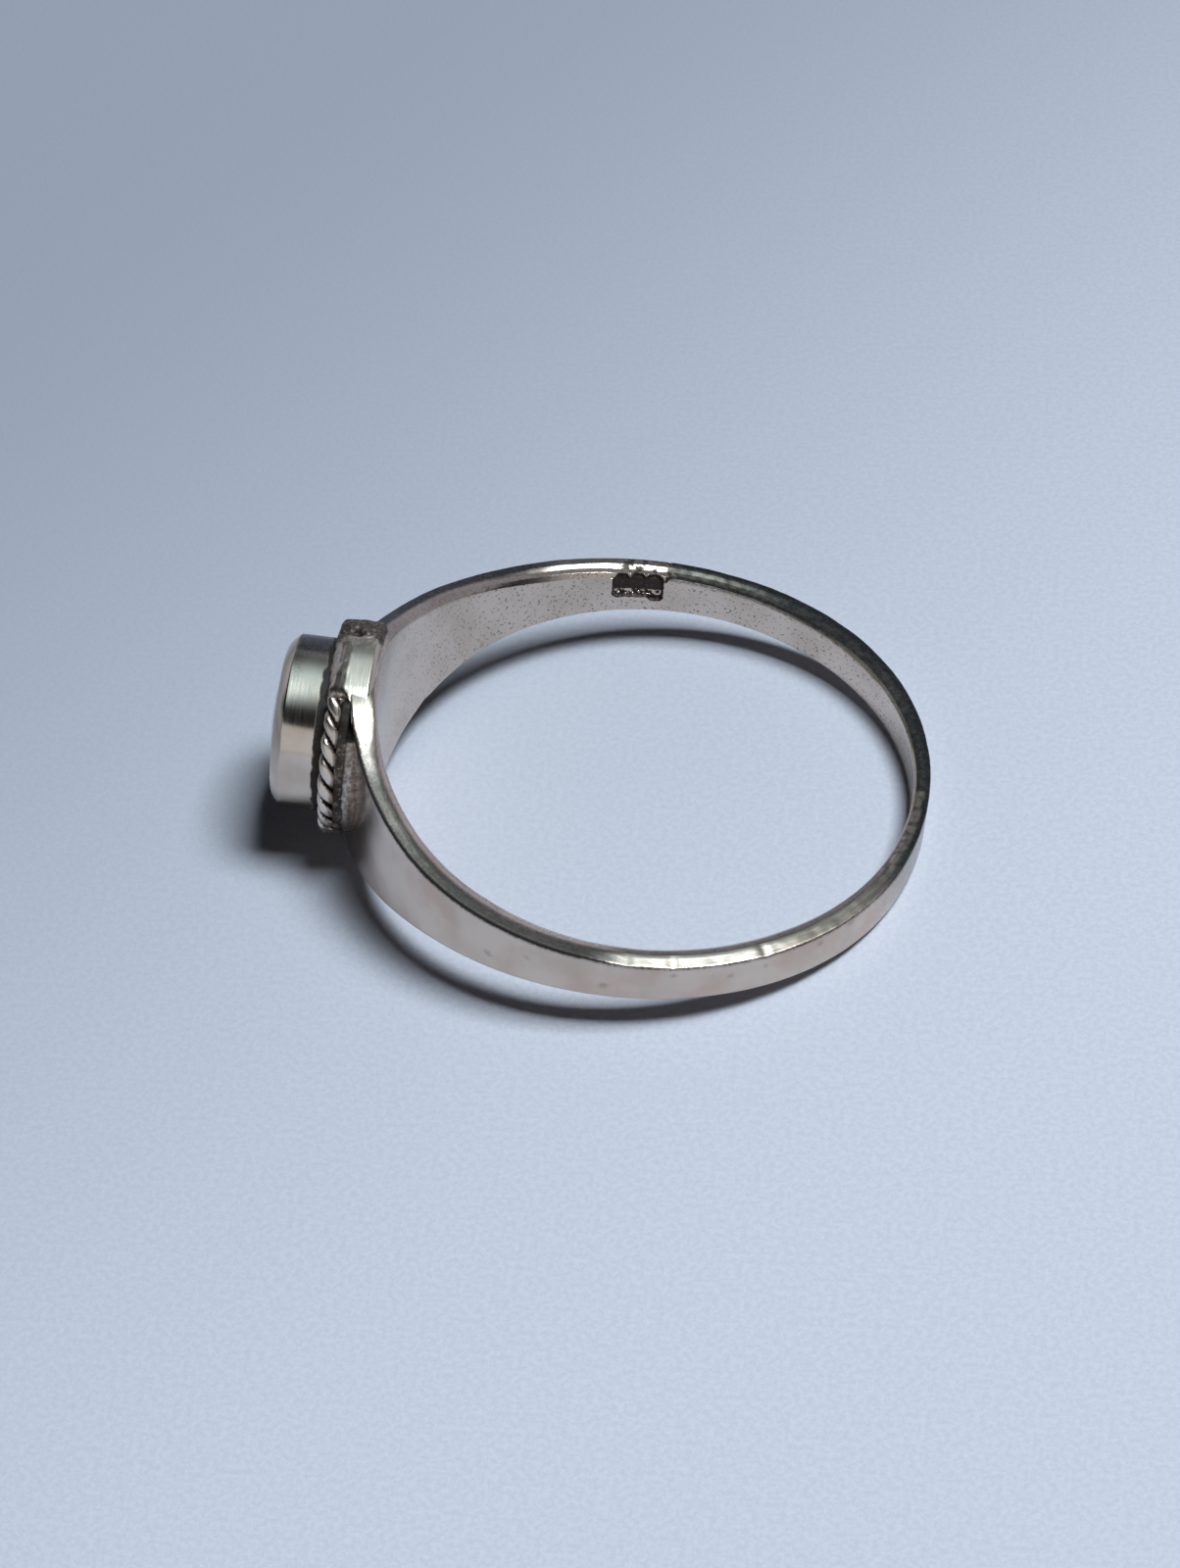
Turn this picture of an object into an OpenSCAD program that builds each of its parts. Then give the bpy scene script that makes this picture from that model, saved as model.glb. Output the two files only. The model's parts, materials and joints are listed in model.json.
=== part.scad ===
// Silver ring with a round abalone shell cabochon in a bezel cup, lying on its side.
// The modules draw it round the finger hole: hole axis on Z, head towards -X, back of the shank on +X.
// At the end it is tipped until the back plate's edge and the back of the shank both touch Z = 0.

/* [Finger hole] */
// Radius of the finger hole
hole_r = 9; // [8:0.05:10.5]

/* [Band] */
// Half width of the shank at the back
back_half_w = 0.75; // [0.65:0.05:1.2]
// Half width of the band under the stone
head_half_w = 3.2; // [2.8:0.05:3.3]
// Softening of the two outer edges
edge_cut = 0.07; // [0.04:0.01:0.12]
// How far the soft rounding inside each edge reaches out from the hole
comfort_d = 0.28; // [0.2:0.01:0.3]
// How far that rounding reaches in from the edge
comfort_h = 0.06; // [0.04:0.01:0.1]

/* [Head] */
// How far the head's axis lies off the middle of the band, away from the front
head_off_y = 0.13; // [-0.3:0.01:0.3]
// How far the head's axis lies above the middle of the band
head_off_z = 0.14; // [-0.2:0.01:0.2]
// Radius of the back plate under the cup
plate_r = 3.7; // [3.66:0.01:3.72]
// Height of the back plate's face above the crown of the band
plate_rise = 0.17; // [0.1:0.01:0.25]
// Thickness of the back plate
plate_t = 0.45; // [0.35:0.05:0.7]

/* [Bezel cup] */
// Outer radius of the cup
cup_r = 2.92; // [2.8:0.01:2.95]
// Wall thickness of the cup
cup_wall = 0.2; // [0.15:0.01:0.25]
// Height of the straight outer wall above the back plate
cup_h = 1.89; // [1.6:0.01:2.2]
// Thickness of the floor under the stone
floor_t = 0.9; // [0.6:0.05:1]
// How far the rim is rolled in over the stone
rim_in = 0.38; // [0.3:0.01:0.42]
// Height of the rolled rim above the straight wall
rim_h = 0.28; // [0.2:0.01:0.35]
// Thickness of the rim's edge
rim_edge = 0.1; // [0.08:0.01:0.15]

/* [Rope border] */
// Radius of the ring that the rope lies on
rope_ring_r = 3.33; // [3.32:0.01:3.34]
// Height of the rope's middle above the back plate
rope_rise = 0.12; // [0.1:0.01:0.14]
// Radius of the rope over its two strands
rope_crest_r = 0.31; // [0.28:0.01:0.32]
// Radius of the rope at its waist, between the strands
rope_waist_r = 0.18; // [0.15:0.01:0.22]
// Strand humps in one full round
rope_humps = 29; // [20:1:36]

/* [Solder lug] */
// Radius of the lug that fills the rope above the band
lug_r = 3.75; // [3.74:0.01:3.8]
// Height of the lug above the rope's crests
lug_rise = 0.05; // [0.03:0.01:0.1]
// Width of the filed slope at the lug's outer edge
lug_slope_w = 0.2; // [0.1:0.05:0.25]
// Fall of that slope
lug_slope_h = 0.2; // [0.1:0.05:0.25]
// First angle of the lug from the top of the head, towards the front
lug_from = -27; // [-40:1:-15]
// Last angle of the lug, towards the far side
lug_to = 30; // [15:1:40]
// Radius of the casting pit in the lug
pit_r = 0.2; // [0.1:0.01:0.25]
// Angle of the casting pit from the top of the head
pit_angle = 20; // [10:1:25]

/* [Stone] */
// Gap between the stone and the cup
stone_gap = 0.06; // [0.03:0.01:0.1]
// Height of the stone's dome above the rolled rim
dome_h = 0.3; // [0.2:0.05:0.6]
// Height of the bevel that the rim is rolled over
bevel_h = 0.2; // [0.15:0.01:0.3]

/* [Worn mark] */
// Angle of the worn mark's middle inside the band, from the head
mark_angle = 82.3; // [60:0.1:120]
// Angle that it spans
mark_span = 11.8; // [8:0.1:14]
// Height of its middle above the middle of the band
mark_z = 0.12; // [0:0.01:0.15]
// Height of the mark
mark_h = 0.8; // [0.6:0.05:0.9]
// Depth of the mark
mark_depth = 0.12; // [0.05:0.01:0.2]

/* [Hidden] */
$fn = 96;

// Angle from the head, share of the head's flare that is left, wall thickness
BAND = [
    [0, 1.00, 0.88],
    [8, 0.99, 0.86],
    [15, 0.85, 0.83],
    [22, 0.69, 0.81],
    [30, 0.54, 0.80],
    [50, 0.23, 0.82],
    [75, 0.045, 0.83],
    [100, 0, 0.83],
    [135, 0, 0.79],
    [180, 0, 0.55]
];
ANGLE = 0;
FLARE = 1;
WALL = 2;

band_steps = 72;
rope_steps_per_hump = 4;
rope_sides = 8;
rim_steps = 4;
dome_steps = 10;
overlap = 0.3; // how far soldered pieces reach into each other
weld = 0.1; // the same for the thin ones
comfort_share = 0.4; // share of comfort_d that is left where the rounding meets the hole

crown = hole_r + BAND[0][WALL];
plate_z = crown + plate_rise;
plate_under = plate_z - plate_t;
saddle_z = hole_r + weld;
saddle_half_w = head_half_w - weld;
rope_z = plate_z + rope_rise;
cup_top = plate_z + cup_h;
rim_z = cup_top + rim_h;
cup_in_r = cup_r - cup_wall;
floor_z = plate_z + floor_t;
lug_z = rope_z + rope_crest_r + lug_rise;
lug_under = crown - 2 * overlap;
lug_span = lug_to - lug_from;
dome_r = cup_r - rim_in - stone_gap;
dome_z = rim_z - rim_edge;
dome_rise = dome_h + rim_edge;

// What it rests on, while its hole axis is upright: back plate's edge under the head, shank at the back
back_r = hole_r + BAND[len(BAND) - 1][WALL];
foot_x = plate_under;
foot_z = plate_r - head_off_z;
heel_x = back_r - edge_cut;
heel_z = back_half_w;
tip = atan2(foot_z - heel_z, foot_x + heel_x);
lift = heel_x * sin(tip) + heel_z * cos(tip);

// Furthest points along X once it is tipped: the dome just below its apex, and the shank's outer edge
dome_swell = pow(dome_r, 2) * sin(tip) * tan(tip) / (4 * dome_rise);
front_x = -(dome_z + dome_rise) * cos(tip) + head_off_z * sin(tip) - dome_swell;
rear_x = back_r * cos(tip) + (back_half_w - edge_cut) * sin(tip);
shift_x = -(front_x + rear_x) / 2;

// Slope of a table's column at row i, level at both ends
function slope(t, i, c) =
    i == 0 || i == len(t) - 1 ? 0 : (t[i + 1][c] - t[i - 1][c]) / (t[i + 1][ANGLE] - t[i - 1][ANGLE]);

// Smooth value of a table's column at angle a
function along(t, a, c) =
    let (i = max([for (k = [0 : len(t) - 2]) if (a >= t[k][ANGLE]) k]),
         d = t[i + 1][ANGLE] - t[i][ANGLE],
         s = (a - t[i][ANGLE]) / d)
    (1 + 2 * s) * pow(1 - s, 2) * t[i][c] + s * pow(1 - s, 2) * d * slope(t, i, c)
    + s * s * (3 - 2 * s) * t[i + 1][c] + s * s * (s - 1) * d * slope(t, i + 1, c);

function half_w(a) = back_half_w + (head_half_w - back_half_w) * along(BAND, a, FLARE);
function wall(a) = along(BAND, a, WALL);

// Band section as [radius, height], from the top outer edge down and back up inside the hole
function band_section(h, t) =
    let (o = hole_r + t, soft = hole_r + comfort_d, mid = hole_r + comfort_share * comfort_d,
         in = hole_r - overlap)
    [[o - edge_cut, h], [o, h - edge_cut], [o, edge_cut - h], [o - edge_cut, -h],
     [soft, -h], [mid, comfort_h - h], [in, overlap - h],
     [in, h - overlap], [mid, h - comfort_h], [soft, h]];

// Skin over rings of points, closed on itself or capped at both ends
module skin(rings, closed) {
    m = len(rings[0]);
    n = len(rings);
    last = closed ? n - 1 : n - 2;
    sides = [for (i = [0 : last], j = [0 : m - 1])
        let (a = i * m + j, b = i * m + (j + 1) % m,
             c = ((i + 1) % n) * m + (j + 1) % m, d = ((i + 1) % n) * m + j)
        each [[a, b, c], [a, c, d]]];
    caps = closed ? [] : [[for (j = [m - 1 : -1 : 0]) j], [for (j = [0 : m - 1]) (n - 1) * m + j]];
    polyhedron(points = [for (r = rings) each r], faces = concat(sides, caps), convexity = 6);
}

module band_blank() {
    skin([for (i = [0 : band_steps - 1])
        let (phi = 360 * i / band_steps, a = min(phi, 360 - phi))
        [for (p = band_section(half_w(a), wall(a))) [-p[0] * cos(phi), p[0] * sin(phi), p[1]]]], true);
}

module band() {
    difference() {
        band_blank();
        translate([0, 0, -2 * head_half_w]) cylinder(r = hole_r, h = 4 * head_half_w);
    }
}

// Puts a piece on the head: its Z axis points out of the head, its X axis up
module on_head() {
    translate([0, head_off_y, head_off_z]) rotate([0, -90, 0]) children();
}

// Round plate, and below it the metal that fills the hollow down to the curved band
module back_plate() {
    translate([0, 0, plate_under]) cylinder(r = plate_r, h = plate_t);
    intersection() {
        translate([0, 0, saddle_z]) cylinder(r = plate_r, h = plate_under - saddle_z + overlap);
        translate([-saddle_half_w - head_off_z, -plate_r, saddle_z])
            cube([2 * saddle_half_w, 2 * plate_r, crown - hole_r]);
    }
}

// Wall, floor and rolled rim as one turned shape: the rim's outside is a quarter of an ellipse
module bezel_cup() {
    lip_r = cup_r - rim_in;
    rotate_extrude() polygon(concat(
        [[0, plate_z - weld], [cup_r, plate_z - weld]],
        [for (i = [0 : rim_steps])
            let (a = 90 * i / rim_steps) [lip_r + rim_in * cos(a), cup_top + rim_h * sin(a)]],
        [[lip_r, rim_z - rim_edge], [cup_in_r, cup_top - bevel_h + stone_gap],
         [cup_in_r, floor_z], [0, floor_z]]));
}

// Two strands twisted together: the section has two lobes, which turn as it goes round the cup
module rope_border() {
    mid_r = (rope_crest_r + rope_waist_r) / 2;
    lobe = (rope_crest_r - rope_waist_r) / 2;
    hidden = 6; // how far each end runs into the lug
    turn = 360 - lug_span + 2 * hidden;
    rings = round(rope_humps * turn / 360) * rope_steps_per_hump;
    skin([for (i = [0 : rings])
        let (b = lug_to - hidden + turn * i / rings, twist = rope_humps * b / 2)
        [for (j = [0 : rope_sides - 1])
            let (a = 360 * j / rope_sides, r = mid_r + lobe * cos(2 * (a - twist)),
                 q = rope_ring_r + r * cos(a))
            [q * cos(b), q * sin(b), rope_z + r * sin(a)]]], false);
}

module solder_lug() {
    rotate([0, 0, lug_from]) rotate_extrude(angle = lug_span) polygon([
        [cup_r - weld, lug_under], [cup_r - weld, lug_z], [lug_r - lug_slope_w, lug_z],
        [lug_r, lug_z - lug_slope_h], [lug_r, plate_under], [saddle_half_w - head_off_z, lug_under]]);
}

module casting_pit() {
    rotate([0, 0, pit_angle]) translate([lug_r, 0, plate_z]) sphere(r = pit_r, $fn = 24);
}

// Shallow place in the wall of the finger hole, where a stamp has worn smooth
module worn_mark() {
    rotate([0, 0, 180 - mark_angle - mark_span / 2]) translate([0, 0, mark_z])
        rotate_extrude(angle = mark_span) polygon([
            [hole_r - overlap, -mark_h / 2], [hole_r + mark_depth, mark_depth - mark_h / 2],
            [hole_r + mark_depth, mark_h / 2 - mark_depth], [hole_r - overlap, mark_h / 2]]);
}

// Band, back plate, cup, rope and lug are soldered together
module ring_metal() {
    difference() {
        union() {
            band();
            on_head() {
                back_plate();
                bezel_cup();
                rope_border();
                solder_lug();
            }
        }
        on_head() casting_pit();
        worn_mark();
    }
}

// Low cabochon: straight girdle, bevel under the rolled rim, then a shallow dome
module cabochon() {
    girdle_r = cup_in_r - stone_gap;
    girdle_z = cup_top - bevel_h;
    rotate_extrude() polygon(concat(
        [[0, floor_z + stone_gap], [girdle_r, floor_z + stone_gap], [girdle_r, girdle_z]],
        [for (i = [0 : dome_steps])
            let (r = dome_r * (1 - i / dome_steps)) [r, dome_z + dome_rise * (1 - pow(r / dome_r, 2))]]));
}

// Tips the ring from its upright hole axis to the way that it rests
module at_rest() {
    translate([shift_x, 0, lift]) rotate([0, tip, 0]) children();
}

module silver_ring() {
    color("silver") at_rest() ring_metal();
}

module abalone_stone() {
    color("teal") at_rest() on_head() cabochon();
}

silver_ring();
abalone_stone();
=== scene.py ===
# %% [markdown]
# A worn silver ring with a small abalone cabochon, lying on its side on pale paper.
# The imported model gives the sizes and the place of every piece. This script dresses it: each silver
# piece is modelled again at the finish of a hand-made ring, and each surface gets its own material.

# %% Load the frame
import json
import math
from types import SimpleNamespace

import bmesh
import bpy
from mathutils import Matrix, Vector, noise


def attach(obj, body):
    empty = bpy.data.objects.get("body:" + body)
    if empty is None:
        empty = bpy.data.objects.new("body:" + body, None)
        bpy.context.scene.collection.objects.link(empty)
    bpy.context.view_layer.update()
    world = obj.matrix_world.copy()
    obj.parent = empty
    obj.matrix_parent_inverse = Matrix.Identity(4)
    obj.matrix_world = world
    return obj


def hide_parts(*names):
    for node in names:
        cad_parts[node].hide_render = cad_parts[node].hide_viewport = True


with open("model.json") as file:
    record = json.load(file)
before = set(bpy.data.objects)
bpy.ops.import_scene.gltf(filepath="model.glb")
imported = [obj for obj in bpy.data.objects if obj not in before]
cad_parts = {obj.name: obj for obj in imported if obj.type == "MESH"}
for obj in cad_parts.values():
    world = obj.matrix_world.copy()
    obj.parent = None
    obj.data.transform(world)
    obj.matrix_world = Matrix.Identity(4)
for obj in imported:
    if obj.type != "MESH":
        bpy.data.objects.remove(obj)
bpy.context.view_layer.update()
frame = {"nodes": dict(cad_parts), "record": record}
print("nodes:", sorted(frame["nodes"]))

# %% [markdown]
# A ring is easiest to model round its finger hole, with the hole's axis upright, and in millimetres.
# Three directions are used: the head with the stone points along -X, the far side of the ring is +Y,
# and +Z runs along the hole. The record's finger_hole mount says where the hole lies once the ring is
# tipped onto its side, so one matrix takes every finished piece to its place.

# %% Places
MM = 0.001
hole = next(m for m in frame["record"]["mounts"] if m["name"] == "finger_hole")
HOLE_R = hole["dims"]["r_mm"]
TIP = math.atan2(hole["axis"][0], hole["axis"][2])
AT_REST = Matrix.Translation(hole["pos_m"]) @ Matrix.Rotation(TIP, 4, "Y") @ Matrix.Scale(MM, 4)

# The head was soldered on slightly off the band's middle
HEAD_OFF_Y = 0.13
HEAD_OFF_Z = 0.14
ON_HEAD = Matrix.Translation((0, HEAD_OFF_Y, HEAD_OFF_Z)) @ Matrix.Rotation(math.radians(-90), 4, "Y")
print(f"finger hole {2 * HOLE_R:.1f} mm across, tipped {math.degrees(TIP):.1f} degrees")

# %% [markdown]
# The camera comes next, because the photo's angle decides how much detail each side needs. It is a
# long lens a hand's width away. Its place and its two directions were measured against the finger hole,
# so they are given in the ring's own directions and turned with the ring.

# %% Camera
CAMERA_AT = Vector((5.447, -118.152, 111.165))
CAMERA_RIGHT = Vector((0.99074, 0.12019, 0.06321))
CAMERA_UP = Vector((-0.12844, 0.67836, 0.72342))
LENS_MM = 111.6

camera_data = bpy.data.cameras.new("camera")
camera_data.lens = LENS_MM
camera_data.sensor_width = 36
camera_data.clip_start = 0.005
camera_data.clip_end = 10
camera = bpy.data.objects.new("camera", camera_data)
bpy.context.scene.collection.objects.link(camera)
right = CAMERA_RIGHT.normalized()
back = right.cross(CAMERA_UP).normalized()
up = back.cross(right)
turn = Matrix((right, up, back)).transposed().to_4x4()
camera.matrix_world = (Matrix.Translation(AT_REST @ CAMERA_AT)
                       @ Matrix.Rotation(TIP, 4, "Y") @ turn)
bpy.context.scene.camera = camera
print("camera height above the floor, mm:", round(camera.matrix_world.translation.z / MM, 1))

# %% [markdown]
# Every metal piece is the same sterling silver, but each has been worked and has aged in its own way.
# A few helpers serve all materials: one turns a colour from a hex value to linear light, one adds a
# node with its settings and links, and the others are short ways to say common steps.

# %% Colours and nodes
def colour(hex_value):
    """A linear RGBA colour from an sRGB hex value such as #c0ffee."""
    parts = [int(hex_value[i:i + 2], 16) / 255 for i in (1, 3, 5)]
    return [c / 12.92 if c <= 0.04045 else ((c + 0.055) / 1.055) ** 2.4 for c in parts] + [1]


def add(tree, kind, settings=None, **inputs):
    """Adds a node with its settings.

    An input goes by its name, with _ for a space, or by in_ and its number. Its value is a socket to
    link, or a constant that is set on the node's own socket.
    """
    node = tree.nodes.new(kind)
    for key, value in (settings or {}).items():
        setattr(node, key, value)
    for key, value in inputs.items():
        number = key.removeprefix("in_")
        socket = node.inputs[int(number) if number.isdigit() else key.replace("_", " ")]
        if isinstance(value, bpy.types.NodeSocket):
            tree.links.new(value, socket)
        else:
            socket.default_value = value
    return node


def new_material(name):
    """An empty material and its node tree."""
    material = bpy.data.materials.new(name)
    material.use_nodes = True
    material.node_tree.nodes.clear()
    return material, material.node_tree


def ramp(tree, factor, stops):
    """A colour ramp with its stops as (place, hex colour)."""
    node = add(tree, "ShaderNodeValToRGB", Fac=factor)
    elements = node.color_ramp.elements
    while len(elements) < len(stops):
        elements.new(1)
    for element, (place, hex_value) in zip(elements, stops):
        element.position = place
        element.color = colour(hex_value)
    return node.outputs["Color"]


def per_mm(size_mm):
    """A texture scale that gives features of this size, for coordinates in metres."""
    return 1 / (size_mm * MM)


def fade(tree, value, start, end, low=0.0, high=1.0):
    """Goes smoothly from low to high while value goes from start to end."""
    if start > end:
        start, end, low, high = end, start, high, low
    return add(tree, "ShaderNodeMapRange", {"interpolation_type": "SMOOTHSTEP"}, Value=value,
               From_Min=start, From_Max=end, To_Min=low, To_Max=high).outputs["Result"]


def maths(tree, operation, *values):
    """One step of arithmetic."""
    return add(tree, "ShaderNodeMath", {"operation": operation},
               **{f"in_{i}": value for i, value in enumerate(values)}).outputs[0]


def blend(tree, factor, first, second):
    """Mixes two colours, given as hex values or as sockets."""
    first, second = (colour(c) if isinstance(c, str) else c for c in (first, second))
    return add(tree, "ShaderNodeMix", {"data_type": "RGBA"}, in_0=factor, in_6=first, in_7=second).outputs[2]


# %% [markdown]
# Old silver isn't white. A thin film of sulphide warms it to a pale grey, a thicker film is olive and
# then charcoal, and in hollows that no cloth reaches it turns brown. Each piece carries attributes,
# painted from its shape when it is modelled: tarnish for brown dirt in hollows, film for the even dark
# film, blush for pinkish stains where copper comes through, and specks for tiny pits. Tarnish and film
# also carry painted shade, in the gaps between parts and on a few edges and faces. Where tarnish lies
# on film it is black, both as dirt and as painted shade. The material mixes them with fine noise, so
# that no border is clean. Rubbed silver keeps thin lines from the last cloth or emery stick: here a
# noise stretched along the piece, read from the piece's UV map, which is in millimetres. The real lines
# are about 0.01 mm apart, and they are drawn 0.05 mm apart or more, to show.

# %% Silver
def silver_material(name, clean, straw, rough, line_mm, line_depth_mm):
    """Sterling silver: clean is its rubbed colour, straw its colour under the thinnest film."""
    material, tree = new_material(name)
    place = add(tree, "ShaderNodeTexCoord").outputs["Object"]
    wrap = add(tree, "ShaderNodeTexCoord").outputs["UV"]
    painted = {key: add(tree, "ShaderNodeAttribute", {"attribute_name": key}).outputs["Fac"]
               for key in ("tarnish", "film", "blush", "specks")}

    cloud = add(tree, "ShaderNodeTexNoise", Vector=place, Scale=per_mm(1.6), Detail=3.0).outputs["Fac"]
    grain = add(tree, "ShaderNodeTexNoise", Vector=place, Scale=per_mm(0.12), Detail=4.0,
                Roughness=0.65).outputs["Fac"]
    pits = add(tree, "ShaderNodeTexNoise", Vector=place, Scale=per_mm(0.09), Detail=1.0).outputs["Fac"]
    stretched = add(tree, "ShaderNodeMapping", Vector=wrap,
                    Scale=(0.06 / line_mm, 1 / line_mm, 1)).outputs["Vector"]
    lines = add(tree, "ShaderNodeTexNoise", Vector=stretched, Scale=1.0, Detail=3.0,
                Roughness=0.6).outputs["Fac"]

    # Where the dirt, the film and the painted shade in them lie: as painted, with borders broken up by the
    # grain
    broken = maths(tree, "MULTIPLY_ADD", grain, 0.9, -0.45)
    brown_mask = fade(tree, maths(tree, "ADD", painted["tarnish"], broken), 0.25, 0.85)
    dark = fade(tree, maths(tree, "MULTIPLY_ADD", broken, 0.6, painted["film"]), 0.0, 1.0)
    speck = maths(tree, "MULTIPLY", fade(tree, pits, 0.6, 0.68), painted["specks"])

    # Colour, from the metal up: straw clouds, copper blush, dark film, specks, and dirt on top, with painted
    # shade in film and dirt
    metal = blend(tree, fade(tree, cloud, 0.35, 0.7), clean, straw)
    copper = maths(tree, "MULTIPLY", painted["blush"], fade(tree, cloud, 0.3, 0.6))
    metal = blend(tree, copper, metal, "#c8ab9c")
    metal = blend(tree, dark, metal, "#33373a")
    brown = ramp(tree, grain, [(0.3, "#120d0a"), (0.55, "#33241b"), (0.8, "#604a3a")])
    # Where tarnish lies on film the brown turns black: dirt, and painted shade in gaps
    brown = blend(tree, maths(tree, "MULTIPLY", painted["film"], 0.9), brown, "#0b0908")
    base = blend(tree, brown_mask, blend(tree, speck, metal, "#4b3a33"), brown)

    # Gloss: a little duller on every second line and under film, and quite dull under dirt and under painted
    # shade
    dull = maths(tree, "MULTIPLY_ADD", lines, 0.16, rough - 0.08)
    dull = maths(tree, "MULTIPLY_ADD", dark, 0.1, dull)
    dull = add(tree, "ShaderNodeMix", {"data_type": "FLOAT"}, in_0=brown_mask, in_2=dull, in_3=0.6).outputs[0]
    height = maths(tree, "MULTIPLY_ADD", grain, 0.35, lines)
    bump = add(tree, "ShaderNodeBump", Strength=1.0, Distance=line_depth_mm * MM,
               Height=height).outputs["Normal"]
    shader = add(tree, "ShaderNodeBsdfPrincipled", Base_Color=base, Roughness=dull, Normal=bump,
                 Metallic=fade(tree, brown_mask, 0.0, 1.0, 1.0, 0.35))
    add(tree, "ShaderNodeOutputMaterial", Surface=shader.outputs["BSDF"])
    return material


# Filed, rubbed with emery and worn on the hand: a satin grey with long, fine lines
BAND_SILVER = silver_material("silver_band_rubbed", "#d4c6b9", "#c6b7a9",
                              rough=0.2, line_mm=0.05, line_depth_mm=0.002)
# Burnished with a steel tool: the smoothest silver here, like a dull mirror
CUP_SILVER = silver_material("silver_cup_burnished", "#d6c9bd", "#c6b7a8",
                             rough=0.16, line_mm=0.06, line_depth_mm=0.0012)
# Wire drawn through a plate, and rubbed bright on its crests alone: paler, with short highlights
ROPE_SILVER = silver_material("silver_wire_drawn", "#ddd1c6", "#c9b9ac",
                              rough=0.26, line_mm=0.08, line_depth_mm=0.002)
# Solder that was filed and left: slightly whiter, with deeper lines
SOLDER_SILVER = silver_material("silver_solder_filed", "#dccfc3", "#c8b8aa",
                                rough=0.22, line_mm=0.06, line_depth_mm=0.003)
print("silver materials:", [m.name for m in (BAND_SILVER, CUP_SILVER, ROPE_SILVER, SOLDER_SILVER)])

# %% [markdown]
# Most pieces of a ring are turned: a section goes round an axis. So the shapes start from a chain of a
# few points, with arcs where the real section is round, and the spin operator takes it round. What is
# not round, such as the band's flare, is then moved into place point by point.

# %% Small tools for shapes
def arc(centre, radii, start, end, steps):
    """Points (radius, height) of an arc of an ellipse, with angles in degrees from the outward side."""
    angles = [math.radians(start + (end - start) * i / steps) for i in range(steps + 1)]
    return [(centre[0] + radii[0] * math.cos(a), centre[1] + radii[1] * math.sin(a)) for a in angles]


def chain(bm, points, closed):
    """Joins points (radius, height) by edges, in the plane of the X and Z axes."""
    verts = [bm.verts.new((r, 0, z)) for r, z in points]
    for a, b in zip(verts, verts[1:] + verts[:1] if closed else verts[1:]):
        bm.edges.new((a, b))


def cut_long_edges(bm, longest):
    """Divides each edge into equal lengths of at most longest."""
    for edge in list(bm.edges):
        cuts = math.ceil(edge.calc_length() / longest) - 1
        if cuts > 0:
            bmesh.ops.subdivide_edges(bm, edges=[edge], cuts=cuts)


def turn_round(bm, steps, degrees=360):
    """Spins all that is there about the Z axis."""
    bmesh.ops.spin(bm, geom=bm.verts[:] + bm.edges[:], cent=(0, 0, 0), axis=(0, 0, 1),
                   angle=math.radians(degrees), steps=steps, use_merge=degrees == 360, use_duplicate=False)
    bmesh.ops.remove_doubles(bm, verts=bm.verts, dist=1e-4)


def close_ends(bm):
    """Fills the open ends of a swept piece."""
    bmesh.ops.holes_fill(bm, edges=[e for e in bm.edges if e.is_boundary])


# %% [markdown]
# Wear, dirt and lumps are all made in one way: a number from 0 to 1 says how strong something is at a
# place. It fades in and out smoothly, and a slow noise makes it uneven. The same numbers move the
# points and paint them, so dirt always lies where the shape is hollow.

# %% Small tools for wear
def smoothstep(low, high, value):
    """Goes smoothly from 0 to 1 while value goes from low to high."""
    t = min(max((value - low) / (high - low), 0), 1)
    return t * t * (3 - 2 * t)


def window(angle, *corners):
    """1 between the two middle corners, fading to 0 at the outer two."""
    a, b, c, d = corners
    return smoothstep(a, b, angle) * smoothstep(d, c, angle)


def bulge(share):
    """How far a quarter circle has turned down: 0 at its top, 1 at its side."""
    return 1 - math.sqrt(1 - min(max(share, 0), 1) ** 2)


def rumble(point, size_mm, seed=0):
    """Smooth noise from -1 to 1 with features of about size_mm, at a point in millimetres."""
    return noise.noise(Vector(point) / size_mm + Vector((seed, 2 * seed, -seed)))


def patchy(point, size_mm, seed):
    """From 0.3 to 1, in patches of about size_mm."""
    return 0.3 + 0.7 * smoothstep(-0.3, 0.3, rumble(point, size_mm, seed))


def paintable(bm, *keys):
    """Makes the layers that paint() fills."""
    for key in keys:
        bm.verts.layers.float.new(key)


def paint(bm, vert, **amounts):
    """Stores each amount on the vertex, kept from 0 to 1, under its name."""
    layers = bm.verts.layers.float
    for key, amount in amounts.items():
        vert[layers[key]] = min(max(amount, 0), 1)


# %% [markdown]
# Every piece ends the same way. It gets a UV map in millimetres, so that its rubbed lines run along it,
# and it is moved to its place on the lying ring. Then it rides on the ring's only body, and the piece of
# the imported model that it replaces is hidden.

# %% Small tools to finish a piece
def wrap_uv(bm, along_across):
    """Gives each corner a UV in mm: along_across(point) says where it is, and a face keeps together."""
    layer = bm.loops.layers.uv.new("wrap")
    for face in bm.faces:
        middle = along_across(face.calc_center_median())
        for loop in face.loops:
            along, across, whole = along_across(loop.vert.co)
            along += whole * round((middle[0] - along) / whole)
            loop[layer].uv = (along, across)


def finished(bm, name, material, node, place):
    """Turns a bmesh in millimetres into a piece in its place, which rides on the ring."""
    bmesh.ops.recalc_face_normals(bm, faces=bm.faces)
    bmesh.ops.transform(bm, matrix=place, verts=bm.verts)
    mesh = bpy.data.meshes.new(name)
    bm.to_mesh(mesh)
    open_edges = sum(1 for e in bm.edges if not e.is_manifold)
    bm.free()
    mesh.materials.append(material)
    for face in mesh.polygons:
        face.use_smooth = True
    piece = bpy.data.objects.new(name, mesh)
    bpy.context.scene.collection.objects.link(piece)
    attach(piece, "root")
    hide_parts(node)
    triangles = sum(len(face.vertices) - 2 for face in mesh.polygons)
    print(f"{name}: {triangles} triangles, {open_edges} open edges")


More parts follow.
